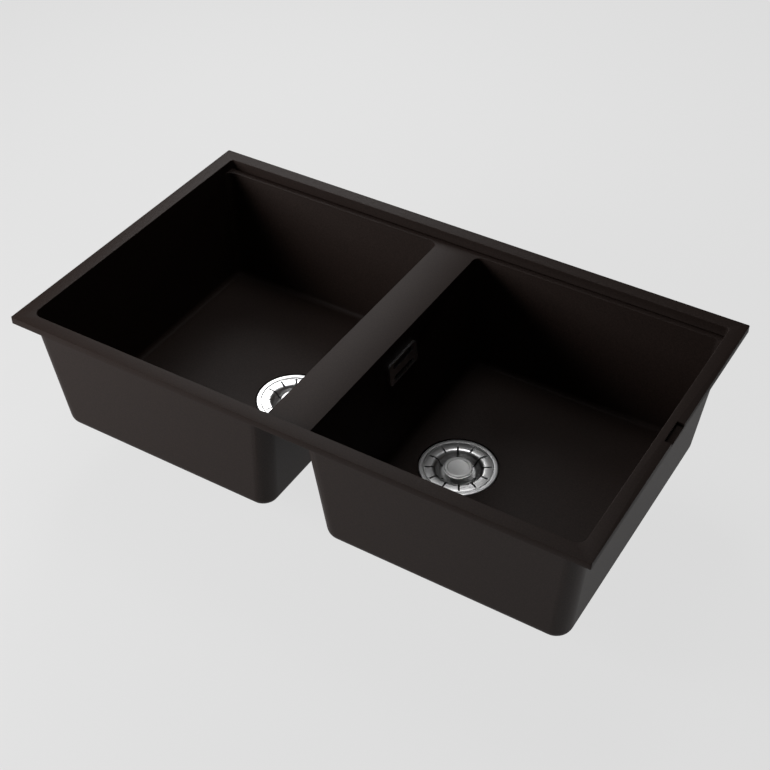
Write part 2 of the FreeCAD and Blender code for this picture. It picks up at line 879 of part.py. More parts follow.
def build_waste(name, side):
    """All the pieces of one bowl's waste."""
    seal_outer = seal_inner + size("seal_width")
    pieces = [
        build_waste_flange(f"{name}_waste_flange"),
        ring(f"{name}_flange_seal", seal_inner, seal_outer, seat_level, ring_under),
        ring(f"{name}_body_seal", seal_inner, seal_outer, housing_top, sink_under),
        build_housing(f"{name}_waste_body", side > 0),
        build_insert(f"{name}_boss_insert"),
        build_clamp_screw(f"{name}_clamp_screw"),
        build_basket(f"{name}_strainer_basket"),
        build_guide(f"{name}_post_guide"),
        build_knob(f"{name}_lift_knob"),
        build_post(f"{name}_lift_post"),
        build_stopper(f"{name}_stopper"),
    ]
    for piece in pieces:
        place_at_drain(piece, side)


# ---------------------------------------------------------------- overflow, square to the divider wall
# Local X leaves the wall into the bowl, Z runs up the wall. The wall's inner face is at X 0.
wall_x = divider_half + (ledge_z - size("overflow_z")) * draft_tan
wall_back = -(wall * draft_cos)
gasket_back = wall_back - size("gasket_thick")
nozzle_x = wall_back - size("nut_radius") - size("nut_clear")
elbow_depth = gasket_back - nozzle_x + size("tube_radius") + size("nozzle_inset")
slot_rows = (size("cover_slot_pitch") / 2, -size("cover_slot_pitch") / 2)


def place_on_wall(obj):
    place(obj, wall_x, zero, size("overflow_z"))
    lean(obj)


def draw_plate(sketch, length, height, radius):
    draw_box(sketch, -length / 2, length / 2, -height / 2, height / 2, radius)


def draw_slot_rows(sketch, grow):
    """The cover's two slots, made larger all round by grow."""
    half = size("cover_slot_length") / 2 + grow
    for middle in slot_rows:
        draw_slot(sketch, -half, half, middle, size("cover_slot_height") / 2 + grow)


def build_cover():
    """Steel cover with a folded edge, and slots whose lips turn in to the wall."""
    body = new_body("overflow_cover")
    gauge, depth = size("cover_gauge"), size("cover_depth")
    face = new_sketch(body, "face", "YZ_Plane")
    draw_plate(face, size("cover_length"), size("cover_height"), size("cover_corner"))
    pad(body, face, depth)
    hollow = new_sketch(body, "hollow", "YZ_Plane")
    draw_plate(hollow, size("cover_length") - gauge * 2, size("cover_height") - gauge * 2,
               size("cover_corner") - gauge)
    draw_slot_rows(hollow, gauge)
    pocket(body, hollow, depth - gauge, reverse=True)
    slots = new_sketch(body, "slots", "YZ_Plane", depth)
    draw_slot_rows(slots, zero)
    pocket(body, slots, depth + size("cut_past"))
    place_on_wall(body)


def build_frame():
    """Plastic frame inside the cover, which the cover snaps on."""
    body = new_body("overflow_frame")
    inset = (size("cover_gauge") + size("fit_gap")) * 2
    plate = new_sketch(body, "plate", "YZ_Plane")
    draw_plate(plate, size("cover_length") - inset, size("cover_height") - inset,
               size("cover_corner") - inset / 2)
    draw_slot_rows(plate, size("cover_gauge") + size("fit_gap"))
    for side in (-1, 1):
        draw_circle(plate, size("fixing_reach") * side, zero, size("fixing_radius") + size("fit_gap"))
    pad(body, plate, size("frame_thick"))
    place_on_wall(body)


def build_fixings():
    """Two screws through the frame and the wall's window into the elbow."""
    screws = []
    for name, side in bowls:
        body = doc.addObject("PartDesign::Body", f"overflow_fixing_{name}")
        reach = size("fixing_reach") * side
        shank = new_sketch(body, "shank", "YZ_Plane", size("frame_thick"))
        draw_circle(shank, reach, zero, size("fixing_radius"))
        pad(body, shank, size("fixing_length"), reverse=True)
        head = new_sketch(body, "head", "YZ_Plane", size("frame_thick"))
        draw_circle(head, reach, zero, size("fixing_head"))
        pad(body, head, size("fixing_head_thick"))
        cross = new_sketch(body, "cross", "YZ_Plane", size("frame_thick") + size("fixing_head_thick"))
        draw_cross(cross, reach, size("fixing_cross_reach"), size("fixing_cross_width"))
        pocket(body, cross, size("fixing_cross_depth"))
        screws.append(body)
    group = doc.addObject("Part::Compound", "overflow_screws")
    group.Label = "overflow_screws"
    group.Links = screws
    doc.recompute()
    kept.append(group)
    place_on_wall(group)


def build_gasket():
    body = new_body("overflow_gasket")
    plate = new_sketch(body, "plate", "YZ_Plane", gasket_back)
    draw_plate(plate, size("elbow_plate_length"), size("elbow_plate_height"), size("elbow_corner"))
    draw_slot(plate, -size("window_length") / 2, size("window_length") / 2, zero, size("window_height") / 2)
    pad(body, plate, size("gasket_thick"))
    place_on_wall(body)


def build_elbow():
    """Chamber behind the wall that turns the water down into the overflow pipe."""
    body = new_body("overflow_elbow")
    plate = new_sketch(body, "plate", "YZ_Plane", gasket_back)
    draw_plate(plate, size("elbow_plate_length"), size("elbow_plate_height"), size("elbow_corner"))
    pad(body, plate, size("elbow_plate_thick"), reverse=True)
    skin = size("elbow_wall")
    chamber = new_sketch(body, "chamber", "YZ_Plane", gasket_back)
    draw_plate(chamber, size("window_length") + skin * 2, size("window_height") + skin * 2,
               size("elbow_corner") + skin)
    pad(body, chamber, elbow_depth, reverse=True)
    end = (gasket_back - elbow_depth).number
    fillet(body, "end", size("elbow_round"), lambda edge: edge.BoundBox.XMax < end + close)
    nozzle = new_sketch(body, "nozzle", "XY_Plane")
    draw_circle(nozzle, nozzle_x, size("drain_y"), size("tube_radius"))
    pad(body, nozzle, size("nozzle_length"), reverse=True)
    hollow = new_sketch(body, "hollow", "YZ_Plane", gasket_back)
    draw_plate(hollow, size("window_length"), size("window_height"), size("elbow_corner"))
    pocket(body, hollow, elbow_depth - skin)
    bosses = new_sketch(body, "bosses", "YZ_Plane", gasket_back)
    for side in (-1, 1):
        draw_circle(bosses, size("fixing_reach") * side, zero, size("fixing_radius") + skin)
    pad(body, bosses, elbow_depth - skin / 2, reverse=True)
    pilot = new_sketch(body, "pilots", "YZ_Plane", gasket_back)
    for side in (-1, 1):
        draw_circle(pilot, size("fixing_reach") * side, zero, size("fixing_radius") + size("post_play"))
    pocket(body, pilot, size("fixing_length") - size("frame_thick"))
    bore = new_sketch(body, "bore", "XY_Plane", -size("nozzle_length"))
    draw_circle(bore, nozzle_x, size("drain_y"), size("tube_radius") - size("tube_wall"))
    pocket(body, bore, size("nozzle_length") - size("window_height") / 2 + size("cut_past"), reverse=True)
    place_on_wall(body)


# The pipe runs down beside the bowl, parallel to its wall, and turns in to the right waste body.
pipe_start = size("nozzle_length") + size("joint_washer")
pipe_x = wall_x + nozzle_x * draft_cos + pipe_start * draft_sin
pipe_z = size("overflow_z") + nozzle_x * draft_sin - pipe_start * draft_cos
inlet_x = size("drain_x") - housing_radius - size("inlet_length") - size("joint_washer")
inlet_level = floor_z - size("inlet_drop")


def build_pipe():
    body = new_body("overflow_pipe")
    bend = size("pipe_bend")
    corner_x = pipe_x + (pipe_z - inlet_level) * draft_tan
    half_turn = Size(f"tan((90 - {draft.text}) / 2)", tan(radians((90 - draft.number) / 2)))
    leg = bend * half_turn
    low_x = corner_x + leg
    high_x, high_z = corner_x - leg * draft_sin, inlet_level + leg * draft_cos
    route = new_sketch(body, "route", "XZ_Plane")
    draw_path(route, (inlet_x, inlet_level), [
        (low_x, inlet_level),
        (high_x, high_z, low_x, inlet_level + bend, -1),
        (pipe_x, pipe_z),
    ], closed=False)
    for name, kind, radius in (("outside", "PartDesign::AdditivePipe", size("tube_radius")),
                               ("bore", "PartDesign::SubtractivePipe", size("tube_radius") - size("tube_wall"))):
        section = new_sketch(body, name, "YZ_Plane", inlet_x)
        draw_circle(section, zero, inlet_level, radius)
        sweep = body.newObject(kind, f"{body.Name}_{name}_sweep")
        sweep.Profile = section
        sweep.Spine = (route, ["Edge1", "Edge2", "Edge3"])
        doc.recompute()
    place(body, zero, size("drain_y"), zero)


def build_joint(name, place_it):
    """A washer between two tube ends and the union nut over them, along local Z from the joint."""
    tube, bore = size("tube_radius"), size("tube_radius") - size("tube_wall")
    washer = ring(f"overflow_{name}_washer", bore, tube, -size("joint_washer"), zero)
    play = size("fit_gap")
    low, high = -(size("nut_length") + size("joint_washer")) / 2, (size("nut_length") - size("joint_washer")) / 2
    bevel = size("nut_grip_depth")
    nut = turned(f"overflow_{name}_nut", (tube + play, low), [
        (size("nut_radius") - bevel, low),
        (size("nut_radius"), low + bevel),
        (size("nut_radius"), high - bevel),
        (size("nut_radius") - bevel, high),
        (tube + play, high),
        (tube + play, low),
    ])
    grip = new_sketch(nut, "grip", "XY_Plane", high)
    draw_circle(grip, size("nut_radius") + bevel, zero, bevel * 2)
    cut = pocket(nut, grip, size("nut_length"))
    repeat_round(nut, cut, size("nut_grips"))
    for piece in (washer, nut):
        place_it(piece)


def place_upper_joint(obj):
    """On the end of the elbow's nozzle."""
    end_x = wall_x + nozzle_x * draft_cos + size("nozzle_length") * draft_sin
    end_z = size("overflow_z") + nozzle_x * draft_sin - size("nozzle_length") * draft_cos
    place(obj, end_x, size("drain_y"), end_z)
    lean(obj)


def place_lower_joint(obj):
    """On the end of the waste body's inlet, turned so that local Z runs to +X."""
    place(obj, size("drain_x") - housing_radius - size("inlet_length"), size("drain_y"), inlet_level)
    obj.Placement = FreeCAD.Placement(obj.Placement.Base, FreeCAD.Rotation(V(0, 1, 0), 90))


# ---------------------------------------------------------------- build, check and write
build_sink()
for bowl_name, bowl_side in bowls:
    build_waste(bowl_name, bowl_side)
build_cover()
build_frame()
build_fixings()
build_gasket()
build_elbow()
build_pipe()
build_joint("upper", place_upper_joint)
build_joint("lower", place_lower_joint)
doc.recompute()

for obj in doc.Objects:
    if "Invalid" in obj.State or "Error" in obj.State:
        raise ValueError(f"{obj.Name} failed: {obj.State}")
os.makedirs("parts", exist_ok=True)
for obj in kept:
    if obj.Shape.isNull() or not obj.Shape.isValid():
        raise ValueError(f"{obj.Label} has no valid shape")
    obj.Shape.exportStep(f"parts/{obj.Label}.step")
    print(f"{obj.Label}: {len(obj.Shape.Solids)} solid, {obj.Shape.Volume / 1000:.2f} cm3")
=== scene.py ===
import json
import math

import bmesh
import bpy
from mathutils import Matrix, Vector


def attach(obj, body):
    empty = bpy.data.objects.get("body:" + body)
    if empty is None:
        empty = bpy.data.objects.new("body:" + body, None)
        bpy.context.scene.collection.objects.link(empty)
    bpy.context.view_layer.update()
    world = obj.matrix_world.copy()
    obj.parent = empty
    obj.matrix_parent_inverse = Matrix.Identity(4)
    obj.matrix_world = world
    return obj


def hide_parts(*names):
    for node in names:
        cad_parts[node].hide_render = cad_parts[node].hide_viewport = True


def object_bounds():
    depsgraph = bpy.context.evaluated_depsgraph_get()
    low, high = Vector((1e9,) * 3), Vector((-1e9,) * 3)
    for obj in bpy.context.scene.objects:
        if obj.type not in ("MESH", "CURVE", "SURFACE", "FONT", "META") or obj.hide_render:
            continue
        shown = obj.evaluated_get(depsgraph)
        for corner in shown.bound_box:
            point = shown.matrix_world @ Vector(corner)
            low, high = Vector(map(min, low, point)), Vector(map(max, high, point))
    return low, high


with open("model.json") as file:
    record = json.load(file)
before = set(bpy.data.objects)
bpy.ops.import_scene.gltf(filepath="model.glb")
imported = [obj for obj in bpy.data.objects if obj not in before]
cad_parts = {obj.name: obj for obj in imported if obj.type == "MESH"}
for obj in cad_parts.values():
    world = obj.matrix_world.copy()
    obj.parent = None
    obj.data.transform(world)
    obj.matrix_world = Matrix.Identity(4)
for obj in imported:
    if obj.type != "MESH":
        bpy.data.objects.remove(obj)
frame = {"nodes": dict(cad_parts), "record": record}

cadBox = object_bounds()
nodes = frame["nodes"]
scene = bpy.context.scene
mm = 0.001
print("frame loaded", len(nodes), "nodes")

# Where each drain sits, and the height of the bowl floor that its pieces are counted from.
drains = {"left": -0.137, "right": 0.137}
drainY = -0.014
floorZ = -0.191


# Materials

def newMaterial(name):
    material = bpy.data.materials.new(name)
    material.use_nodes = True
    shader = material.node_tree.nodes["Principled BSDF"]
    return material, material.node_tree, shader


def addNode(tree, kind, **values):
    node = tree.nodes.new(kind)
    for key, value in values.items():
        if hasattr(node, key):
            setattr(node, key, value)
        else:
            node.inputs[key.replace("_", " ")].default_value = value
    return node


def addBump(tree, shader, height, strength, distance):
    bump = addNode(tree, "ShaderNodeBump", Strength=strength, Distance=distance)
    tree.links.new(height, bump.inputs["Height"])
    tree.links.new(bump.outputs["Normal"], shader.inputs["Normal"])


def mixColours(tree, factor, first, second):
    mix = tree.nodes.new("ShaderNodeMix")
    mix.data_type = "RGBA"
    mix.inputs["A"].default_value = (*first, 1)
    mix.inputs["B"].default_value = (*second, 1)
    tree.links.new(factor, mix.inputs["Factor"])
    return mix


def rampOf(tree, source, low, high):
    ramp = addNode(tree, "ShaderNodeMapRange")
    ramp.inputs["From Min"].default_value = low
    ramp.inputs["From Max"].default_value = high
    tree.links.new(source, ramp.inputs["Value"])
    return ramp.outputs["Result"]


# Cast stone: a brown-black ground, a slow cloud in it, and fine lighter grains on top.
def graniteMaterial():
    look = {
        "base": (0.0300, 0.0185, 0.0150),
        "fleck": (0.050, 0.034, 0.028),
        "dark": (0.021, 0.0128, 0.0102),
        "flecks": {"Scale": 1500.0, "Detail": 2.0, "Roughness": 0.6},
        "cloud": {"Scale": 420.0, "Detail": 3.0},
        "cloudSpread": (0.35, 0.65),
        "fleckSpread": (0.6, 0.72),
        "roughness": 0.56,
        "shine": 0.14,
        "bump": 0.25,
        "grainDepth": 0.08 * mm,
    }
    material, tree, shader = newMaterial("darkGranite")
    place = addNode(tree, "ShaderNodeTexCoord")
    flecks = addNode(tree, "ShaderNodeTexNoise", **look["flecks"])
    cloud = addNode(tree, "ShaderNodeTexNoise", **look["cloud"])
    for texture in (flecks, cloud):
        tree.links.new(place.outputs["Object"], texture.inputs["Vector"])
    clouded = rampOf(tree, cloud.outputs["Fac"], *look["cloudSpread"])
    ground = mixColours(tree, clouded, look["dark"], look["base"])
    flecked = rampOf(tree, flecks.outputs["Fac"], *look["fleckSpread"])
    speck = mixColours(tree, flecked, look["base"], look["fleck"])
    tree.links.new(ground.outputs["Result"], speck.inputs["A"])
    tree.links.new(speck.outputs["Result"], shader.inputs["Base Color"])
    shader.inputs["Roughness"].default_value = look["roughness"]
    shader.inputs["Specular IOR Level"].default_value = look["shine"]
    addBump(tree, shader, flecks.outputs["Fac"], look["bump"], look["grainDepth"])
    return material


# Steel with a fine turned grain about each drain's axis. The two drains mirror each other in X.
def steelMaterial(name, colour, roughness):
    look = {"linesPerMetre": 2600.0, "detail": 4.0, "bump": 0.3, "grainDepth": 0.03 * mm}
    material, tree, shader = newMaterial(name)
    shader.inputs["Base Color"].default_value = (*colour, 1)
    shader.inputs["Metallic"].default_value = 1.0
    shader.inputs["Roughness"].default_value = roughness
    place = addNode(tree, "ShaderNodeTexCoord")
    noise = addNode(tree, "ShaderNodeTexNoise", noise_dimensions="3D", Scale=1.0, Detail=look["detail"])
    split = addNode(tree, "ShaderNodeSeparateXYZ")
    tree.links.new(place.outputs["Object"], split.inputs["Vector"])
    mirrored = addNode(tree, "ShaderNodeMath", operation="ABSOLUTE")
    tree.links.new(split.outputs["X"], mirrored.inputs[0])
    flat = addNode(tree, "ShaderNodeCombineXYZ")
    tree.links.new(mirrored.outputs[0], flat.inputs["X"])
    tree.links.new(split.outputs["Y"], flat.inputs["Y"])
    fromAxis = addNode(tree, "ShaderNodeVectorMath", operation="DISTANCE")
    fromAxis.inputs[1].default_value = (drains["right"], drainY, 0)
    tree.links.new(flat.outputs["Vector"], fromAxis.inputs[0])
    scaled = addNode(tree, "ShaderNodeMath", operation="MULTIPLY")
    scaled.inputs[1].default_value = look["linesPerMetre"]
    tree.links.new(fromAxis.outputs["Value"], scaled.inputs[0])
    line = addNode(tree, "ShaderNodeCombineXYZ")
    tree.links.new(scaled.outputs[0], line.inputs["X"])
    tree.links.new(line.outputs["Vector"], noise.inputs["Vector"])
    addBump(tree, shader, noise.outputs["Fac"], look["bump"], look["grainDepth"])
    return material


# A moulded or cast surface with a faint grain.
def plainMaterial(name, colour, roughness, metallic=0.0):
    look = {
        "grain": {"Scale": 900.0, "Detail": 3.0},
        "shade": 0.88,
        "spread": (0.3, 0.7),
        "bump": 0.3,
        "grainDepth": 0.03 * mm,
    }
    material, tree, shader = newMaterial(name)
    place = addNode(tree, "ShaderNodeTexCoord")
    noise = addNode(tree, "ShaderNodeTexNoise", **look["grain"])
    tree.links.new(place.outputs["Object"], noise.inputs["Vector"])
    shaded = tuple(look["shade"] * part for part in colour)
    mixed = mixColours(tree, rampOf(tree, noise.outputs["Fac"], *look["spread"]), shaded, colour)
    tree.links.new(mixed.outputs["Result"], shader.inputs["Base Color"])
    shader.inputs["Roughness"].default_value = roughness
    shader.inputs["Metallic"].default_value = metallic
    addBump(tree, shader, noise.outputs["Fac"], look["bump"], look["grainDepth"])
    return material


granite = graniteMaterial()
polishedSteel = steelMaterial("polishedSteel", (0.86, 0.86, 0.86), 0.3)
satinSteel = steelMaterial("satinSteel", (0.78, 0.78, 0.775), 0.38)
blackRubber = plainMaterial("blackRubber", (0.022, 0.022, 0.022), 0.7)
whitePlastic = plainMaterial("whitePlastic", (0.62, 0.62, 0.6), 0.42)
greyPlastic = plainMaterial("greyPlastic", (0.12, 0.12, 0.12), 0.45)
brass = plainMaterial("brass", (0.62, 0.44, 0.19), 0.3, metallic=1.0)
slotMaterials = {
    "dark_granite": granite,
    "polished_steel": polishedSteel,
    "satin_steel": satinSteel,
    "black_rubber": blackRubber,
    "white_plastic": whitePlastic,
    "grey_plastic": greyPlastic,
    "brass_insert": brass,
}
print("materials made", len(slotMaterials))


# Mesh helpers

def meshObject(name, mesh, material):
    obj = bpy.data.objects.new(name, mesh)
    scene.collection.objects.link(obj)
    mesh.materials.clear()
    mesh.materials.append(material)
    return obj


# Smooth faces, with sharp edges where the surface turns by more than the angle.
def sharpen(bm, degrees=32.0):
    limit = math.radians(degrees)
    for face in bm.faces:
        face.smooth = True
    for edge in bm.edges:
        edge.smooth = len(edge.link_faces) == 2 and edge.calc_face_angle(math.pi) < limit


# Closed profile from (r, z, rounding) in millimetres, its corners turned into arcs.
def rounded(points, steps=5):
    made = []
    count = len(points)
    for index, (r, z, radius) in enumerate(points):
        here = Vector((r, z))
        if radius == 0:
            made.append(here)
            continue
        back = (Vector(points[index - 1][:2]) - here).normalized()
        ahead = (Vector(points[(index + 1) % count][:2]) - here).normalized()
        half = back.angle(ahead) / 2
        reach = radius / math.tan(half)
        centre = here + (back + ahead).normalized() * (radius / math.sin(half))
        start = here + back * reach - centre
        end = here + ahead * reach - centre
        turn = start.angle_signed(end)
        for step in range(steps + 1):
            angle = -turn * step / steps
            made.append(centre + Matrix.Rotation(angle, 2) @ start)
    return made


# Turns a closed profile about a drain's axis. A point on the axis closes the form there.
def turned(name, side, profile, material, segments):
    onAxis = 1e-7
    bm = bmesh.new()
    cx = drains[side]
    rings = []
    for point in profile:
        r, z = point.x * mm, floorZ + point.y * mm
        if r < onAxis:
            rings.append([bm.verts.new((cx, drainY, z))])
            continue
        ring = []
        for index in range(segments):
            angle = 2 * math.pi * index / segments
            ring.append(bm.verts.new((cx + r * math.cos(angle), drainY + r * math.sin(angle), z)))
        rings.append(ring)
    for low, high in zip(rings, rings[1:] + rings[:1]):
        if len(low) == 1 and len(high) == 1:
            continue
        for index in range(segments):
            after = (index + 1) % segments
            if len(low) == 1:
                bm.faces.new((low[0], high[after], high[index]))
            elif len(high) == 1:
                bm.faces.new((low[index], low[after], high[0]))
            else:
                bm.faces.new((low[index], low[after], high[after], high[index]))
    bmesh.ops.recalc_face_normals(bm, faces=bm.faces)
    sharpen(bm)
    mesh = bpy.data.meshes.new(name)
    bm.to_mesh(mesh)
    bm.free()
    return meshObject(name, mesh, material)


# Turns an object's modifiers into its mesh.
def settle(obj):
    graph = bpy.context.evaluated_depsgraph_get()
    made = bpy.data.meshes.new_from_object(obj.evaluated_get(graph))
    obj.modifiers.clear()
    old = obj.data
    obj.data = made
    bpy.data.meshes.remove(old)


# Cuts one mesh out of another and removes the cutter.
def cutWith(obj, cutter):
    modifier = obj.modifiers.new("cut", "BOOLEAN")
    modifier.operation = "DIFFERENCE"
    modifier.solver = "EXACT"
    modifier.object = cutter
    settle(obj)
    bpy.data.objects.remove(cutter)


# One mesh of upright prisms. Each outline is a list of (x, y) in metres.
def prismCutter(name, outlines, low, high):
    bm = bmesh.new()
    for outline in outlines:
        floor = [bm.verts.new((x, y, low)) for x, y in outline]
        roof = [bm.verts.new((x, y, high)) for x, y in outline]
        bm.faces.new(reversed(floor))
        bm.faces.new(roof)
        for index in range(len(outline)):
            after = (index + 1) % len(outline)
            bm.faces.new((floor[index], floor[after], roof[after], roof[index]))
    mesh = bpy.data.meshes.new(name)
    bm.to_mesh(mesh)
    bm.free()
    return meshObject(name, mesh, blackRubber)


def circleOutline(cx, cy, radius, count=32):
    turns = [2 * math.pi * index / count for index in range(count)]
    return [(cx + radius * math.cos(a), cy + radius * math.sin(a)) for a in turns]


# A slot with round ends, which points away from the centre.
def slotOutline(cx, cy, inner, outer, half, angle, count=8):
    points = []
    for centre, start in ((outer - half, -math.pi / 2), (inner + half, math.pi / 2)):
        for index in range(count + 1):
            a = start + math.pi * index / count
            points.append((centre + half * math.cos(a), half * math.sin(a)))
    c, s = math.cos(angle), math.sin(angle)
    return [(cx + x * c - y * s, cy + x * s + y * c) for x, y in points]


# The moulded sink: the frame's own mesh, with every hard edge eased as a casting has it.
def makeSink():
    look = {
        "easing": 0.9 * mm,
        "easingSteps": 3,
        "easedAbove": 38.0,
        "smoothBelow": 40.0,
        "weld": 0.002 * mm,
        "flatWithin": 0.4,
    }
    bm = bmesh.new()
    bm.from_mesh(nodes["sink_body"].data)
    bmesh.ops.remove_doubles(bm, verts=bm.verts, dist=look["weld"])
    bmesh.ops.dissolve_limit(bm, angle_limit=math.radians(look["flatWithin"]), verts=bm.verts, edges=bm.edges)
    mesh = bpy.data.meshes.new("sinkShell")
    bm.to_mesh(mesh)
    bm.free()
    shell = meshObject("sinkShell", mesh, granite)
    bevel = shell.modifiers.new("ease", "BEVEL")
    bevel.width = look["easing"]
    bevel.segments = look["easingSteps"]
    bevel.limit_method = "ANGLE"
    bevel.angle_limit = math.radians(look["easedAbove"])
    bevel.use_clamp_overlap = True
    settle(shell)
    bm = bmesh.new()
    bm.from_mesh(shell.data)
    sharpen(bm, look["smoothBelow"])
    bm.to_mesh(shell.data)
    bm.free()
    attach(shell, "sink")
    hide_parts("sink_body")
    print("sink made", len(shell.data.polygons))


makeSink()


# Wastes: radii from the drain's axis and heights from the bowl floor, both in millimetres

# Ring, sloping seat, throat and cup, pressed from one sheet.
def makeFlange(side):
    look = {
        "gauge": 1.0,
        "bore": 3.3,
        "throat": 43.4,
        "cupFloor": -37.0,
        "cupRound": 6.0,
        "cupJoin": -4.04,
        "seat": -1.6,
        "seatFall": 2.0,
        "seatInner": 47.0,
        "ringStep": 48.4,
        "ringInner": 49.8,
        "ringOuter": 56.0,
        "ringTop": -0.2,
        "ringRound": 1.6,
        "stepRound": 0.2,
        "throatRound": 0.6,
        "edge": 0.3,
        "gridHoles": 8,
        "gridHole": 5.0,
        "gridCircle": 22.0,
        "gridCut": (-45.0, -30.0),
        "segments": 160,
    }
    cupOutside = look["throat"] + look["gauge"]
    cupUnder = look["cupFloor"] - look["gauge"]
    ringUnder = look["seat"] - look["gauge"]
    profile = rounded([
        (look["bore"], cupUnder, 0),
        (cupOutside, cupUnder, look["cupRound"] + look["gauge"]),
        (cupOutside, look["cupJoin"], 0),
        (look["seatInner"], ringUnder, 0),
        (look["ringOuter"], ringUnder, look["edge"]),
        (look["ringOuter"], look["ringTop"], look["ringRound"]),
        (look["ringInner"], look["ringTop"], look["edge"]),
        (look["ringStep"], look["seat"], look["stepRound"]),
        (look["seatInner"], look["seat"], look["edge"]),
        (look["throat"], look["seat"] - look["seatFall"], look["throatRound"]),
        (look["throat"], look["cupFloor"], look["cupRound"]),
        (look["bore"], look["cupFloor"], 0),
    ])
    flange = turned(f"{side}WasteFlange", side, profile, polishedSteel, look["segments"])
    circle, hole = look["gridCircle"] * mm, look["gridHole"] * mm
    outlines = []
    for index in range(look["gridHoles"]):
        angle = 2 * math.pi * index / look["gridHoles"]
        holeX = drains[side] + circle * math.cos(angle)
        holeY = drainY + circle * math.sin(angle)
        outlines.append(circleOutline(holeX, holeY, hole))
    low, high = (floorZ + level * mm for level in look["gridCut"])
    cutWith(flange, prismCutter("gridCutter", outlines, low, high))
    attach(flange, "sink")
    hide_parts(f"{side}_waste_flange")


# Lift-out dish: two equal arcs lead from the brim down to its floor, pierced by long and short slots.
def makeBasket(side):
    look = {
        "brim": 48.2,
        "brimLand": 2.0,
        "dish": 38.0,
        "floor": 22.0,
        "top": -0.6,
        "low": -11.6,
        "gauge": 1.0,
        "bore": 6.0,
        "edge": 0.3,
        "arcSteps": 10,
        "edgeSteps": 3,
        "slots": 12,
        "slotInner": (23.6, 33.0),
        "slotOuter": 46.6,
        "slotHalf": 1.35,
        "slotCut": (-20.0, 4.0),
        "segments": 192,
    }
    run, fall = look["dish"] - look["floor"], look["top"] - look["low"]
    bend = (run * run + fall * fall) / (4 * fall)
    spread = math.asin(run / (2 * bend))
    steps = look["arcSteps"]
    curve = []
    for index in range(steps + 1):
        angle = spread * index / steps
        curve.append((look["dish"], look["top"] - bend, bend, -math.sin(angle), math.cos(angle)))
    for index in range(1, steps + 1):
        angle = spread * (1 - index / steps)
        curve.append((look["floor"], look["low"] + bend, -bend, -math.sin(angle), math.cos(angle)))
    upper = [Vector((cx + b * x, cz + b * z)) for cx, cz, b, x, z in curve]
    gauge = look["gauge"]
    lower = [Vector((cx + (b - gauge) * x, cz + (b - gauge) * z)) for cx, cz, b, x, z in curve]
    under = look["top"] - gauge
    lip = rounded([
        (look["brim"], under, look["edge"]),
        (look["brim"], look["top"], look["edge"]),
        (look["brim"] - look["brimLand"], look["top"], 0),
        (look["brim"] - look["brimLand"], under, 0),
    ], look["edgeSteps"])
    bore = [Vector((look["bore"], look["low"])), Vector((look["bore"], look["low"] - gauge))]
    profile = lip[:-2] + upper + bore + lower[::-1]
    basket = turned(f"{side}StrainerBasket", side, profile, polishedSteel, look["segments"])
    outer, half = look["slotOuter"] * mm, look["slotHalf"] * mm
    outlines = []
    for index in range(look["slots"]):
        inner = look["slotInner"][index % 2] * mm
        angle = 2 * math.pi * index / look["slots"]
        outlines.append(slotOutline(drains[side], drainY, inner, outer, half, angle))
    low, high = (floorZ + level * mm for level in look["slotCut"])
    cutWith(basket, prismCutter("slotCutter", outlines, low, high))
    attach(basket, f"{side}_strainer")
    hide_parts(f"{side}_strainer_basket")


# Flat round knob with a shallow dimple on top and a stem below.
def makeKnob(side):
    look = {
        "post": 3.0,
        "postTop": -4.6,
        "stem": 7.0,
        "stemFoot": -9.8,
        "disc": 20.0,
        "top": -0.2,
        "under": -5.2,
        "dimple": 15.5,
        "dimpleFloor": 14.9,
        "dimpleLevel": -0.8,
        "footRound": 0.4,
        "stemRound": 0.6,
        "underRound": 1.4,
        "topRound": 1.2,
        "edge": 0.3,
        "segments": 128,
    }
    profile = rounded([
        (look["post"], look["stemFoot"], 0),
        (look["stem"], look["stemFoot"], look["footRound"]),
        (look["stem"], look["under"], look["stemRound"]),
        (look["disc"], look["under"], look["underRound"]),
        (look["disc"], look["top"], look["topRound"]),
        (look["dimple"], look["top"], look["edge"]),
        (look["dimpleFloor"], look["dimpleLevel"], look["edge"]),
        (0.0, look["dimpleLevel"], 0),
        (0.0, look["postTop"], 0),
        (look["post"], look["postTop"], 0),
    ])
    knob = turned(f"{side}LiftKnob", side, profile, satinSteel, look["segments"])
    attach(knob, f"{side}_plug")
    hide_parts(f"{side}_lift_knob")


# Rubber disc with a bevelled top edge and a recess round the clamp screw below.
def makeStopper(side):
    look = {
        "post": 3.0,
        "recess": 11.0,
        "recessRoof": -33.4,
        "lip": 13.2,
        "low": -36.8,
        "disc": 30.0,
        "shoulder": -33.4,
        "crown": 27.8,
        "top": -31.2,
        "recessRound": 0.4,
        "footRound": 0.9,
        "shoulderRound": 0.5,
        "crownRound": 0.8,
        "segments": 96,
    }
    profile = rounded([
        (look["post"], look["recessRoof"], 0),
        (look["recess"], look["recessRoof"], look["recessRound"]),
        (look["lip"], look["low"], look["recessRound"]),
        (look["disc"], look["low"], look["footRound"]),
        (look["disc"], look["shoulder"], look["shoulderRound"]),
        (look["crown"], look["top"], look["crownRound"]),
        (look["post"], look["top"], 0),
    ])
    stopper = turned(f"{side}Stopper", side, profile, blackRubber, look["segments"])
    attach(stopper, f"{side}_plug")
    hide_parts(f"{side}_stopper")


for side in drains:
    makeFlange(side)
    makeBasket(side)
    makeKnob(side)
    makeStopper(side)
print("wastes made")


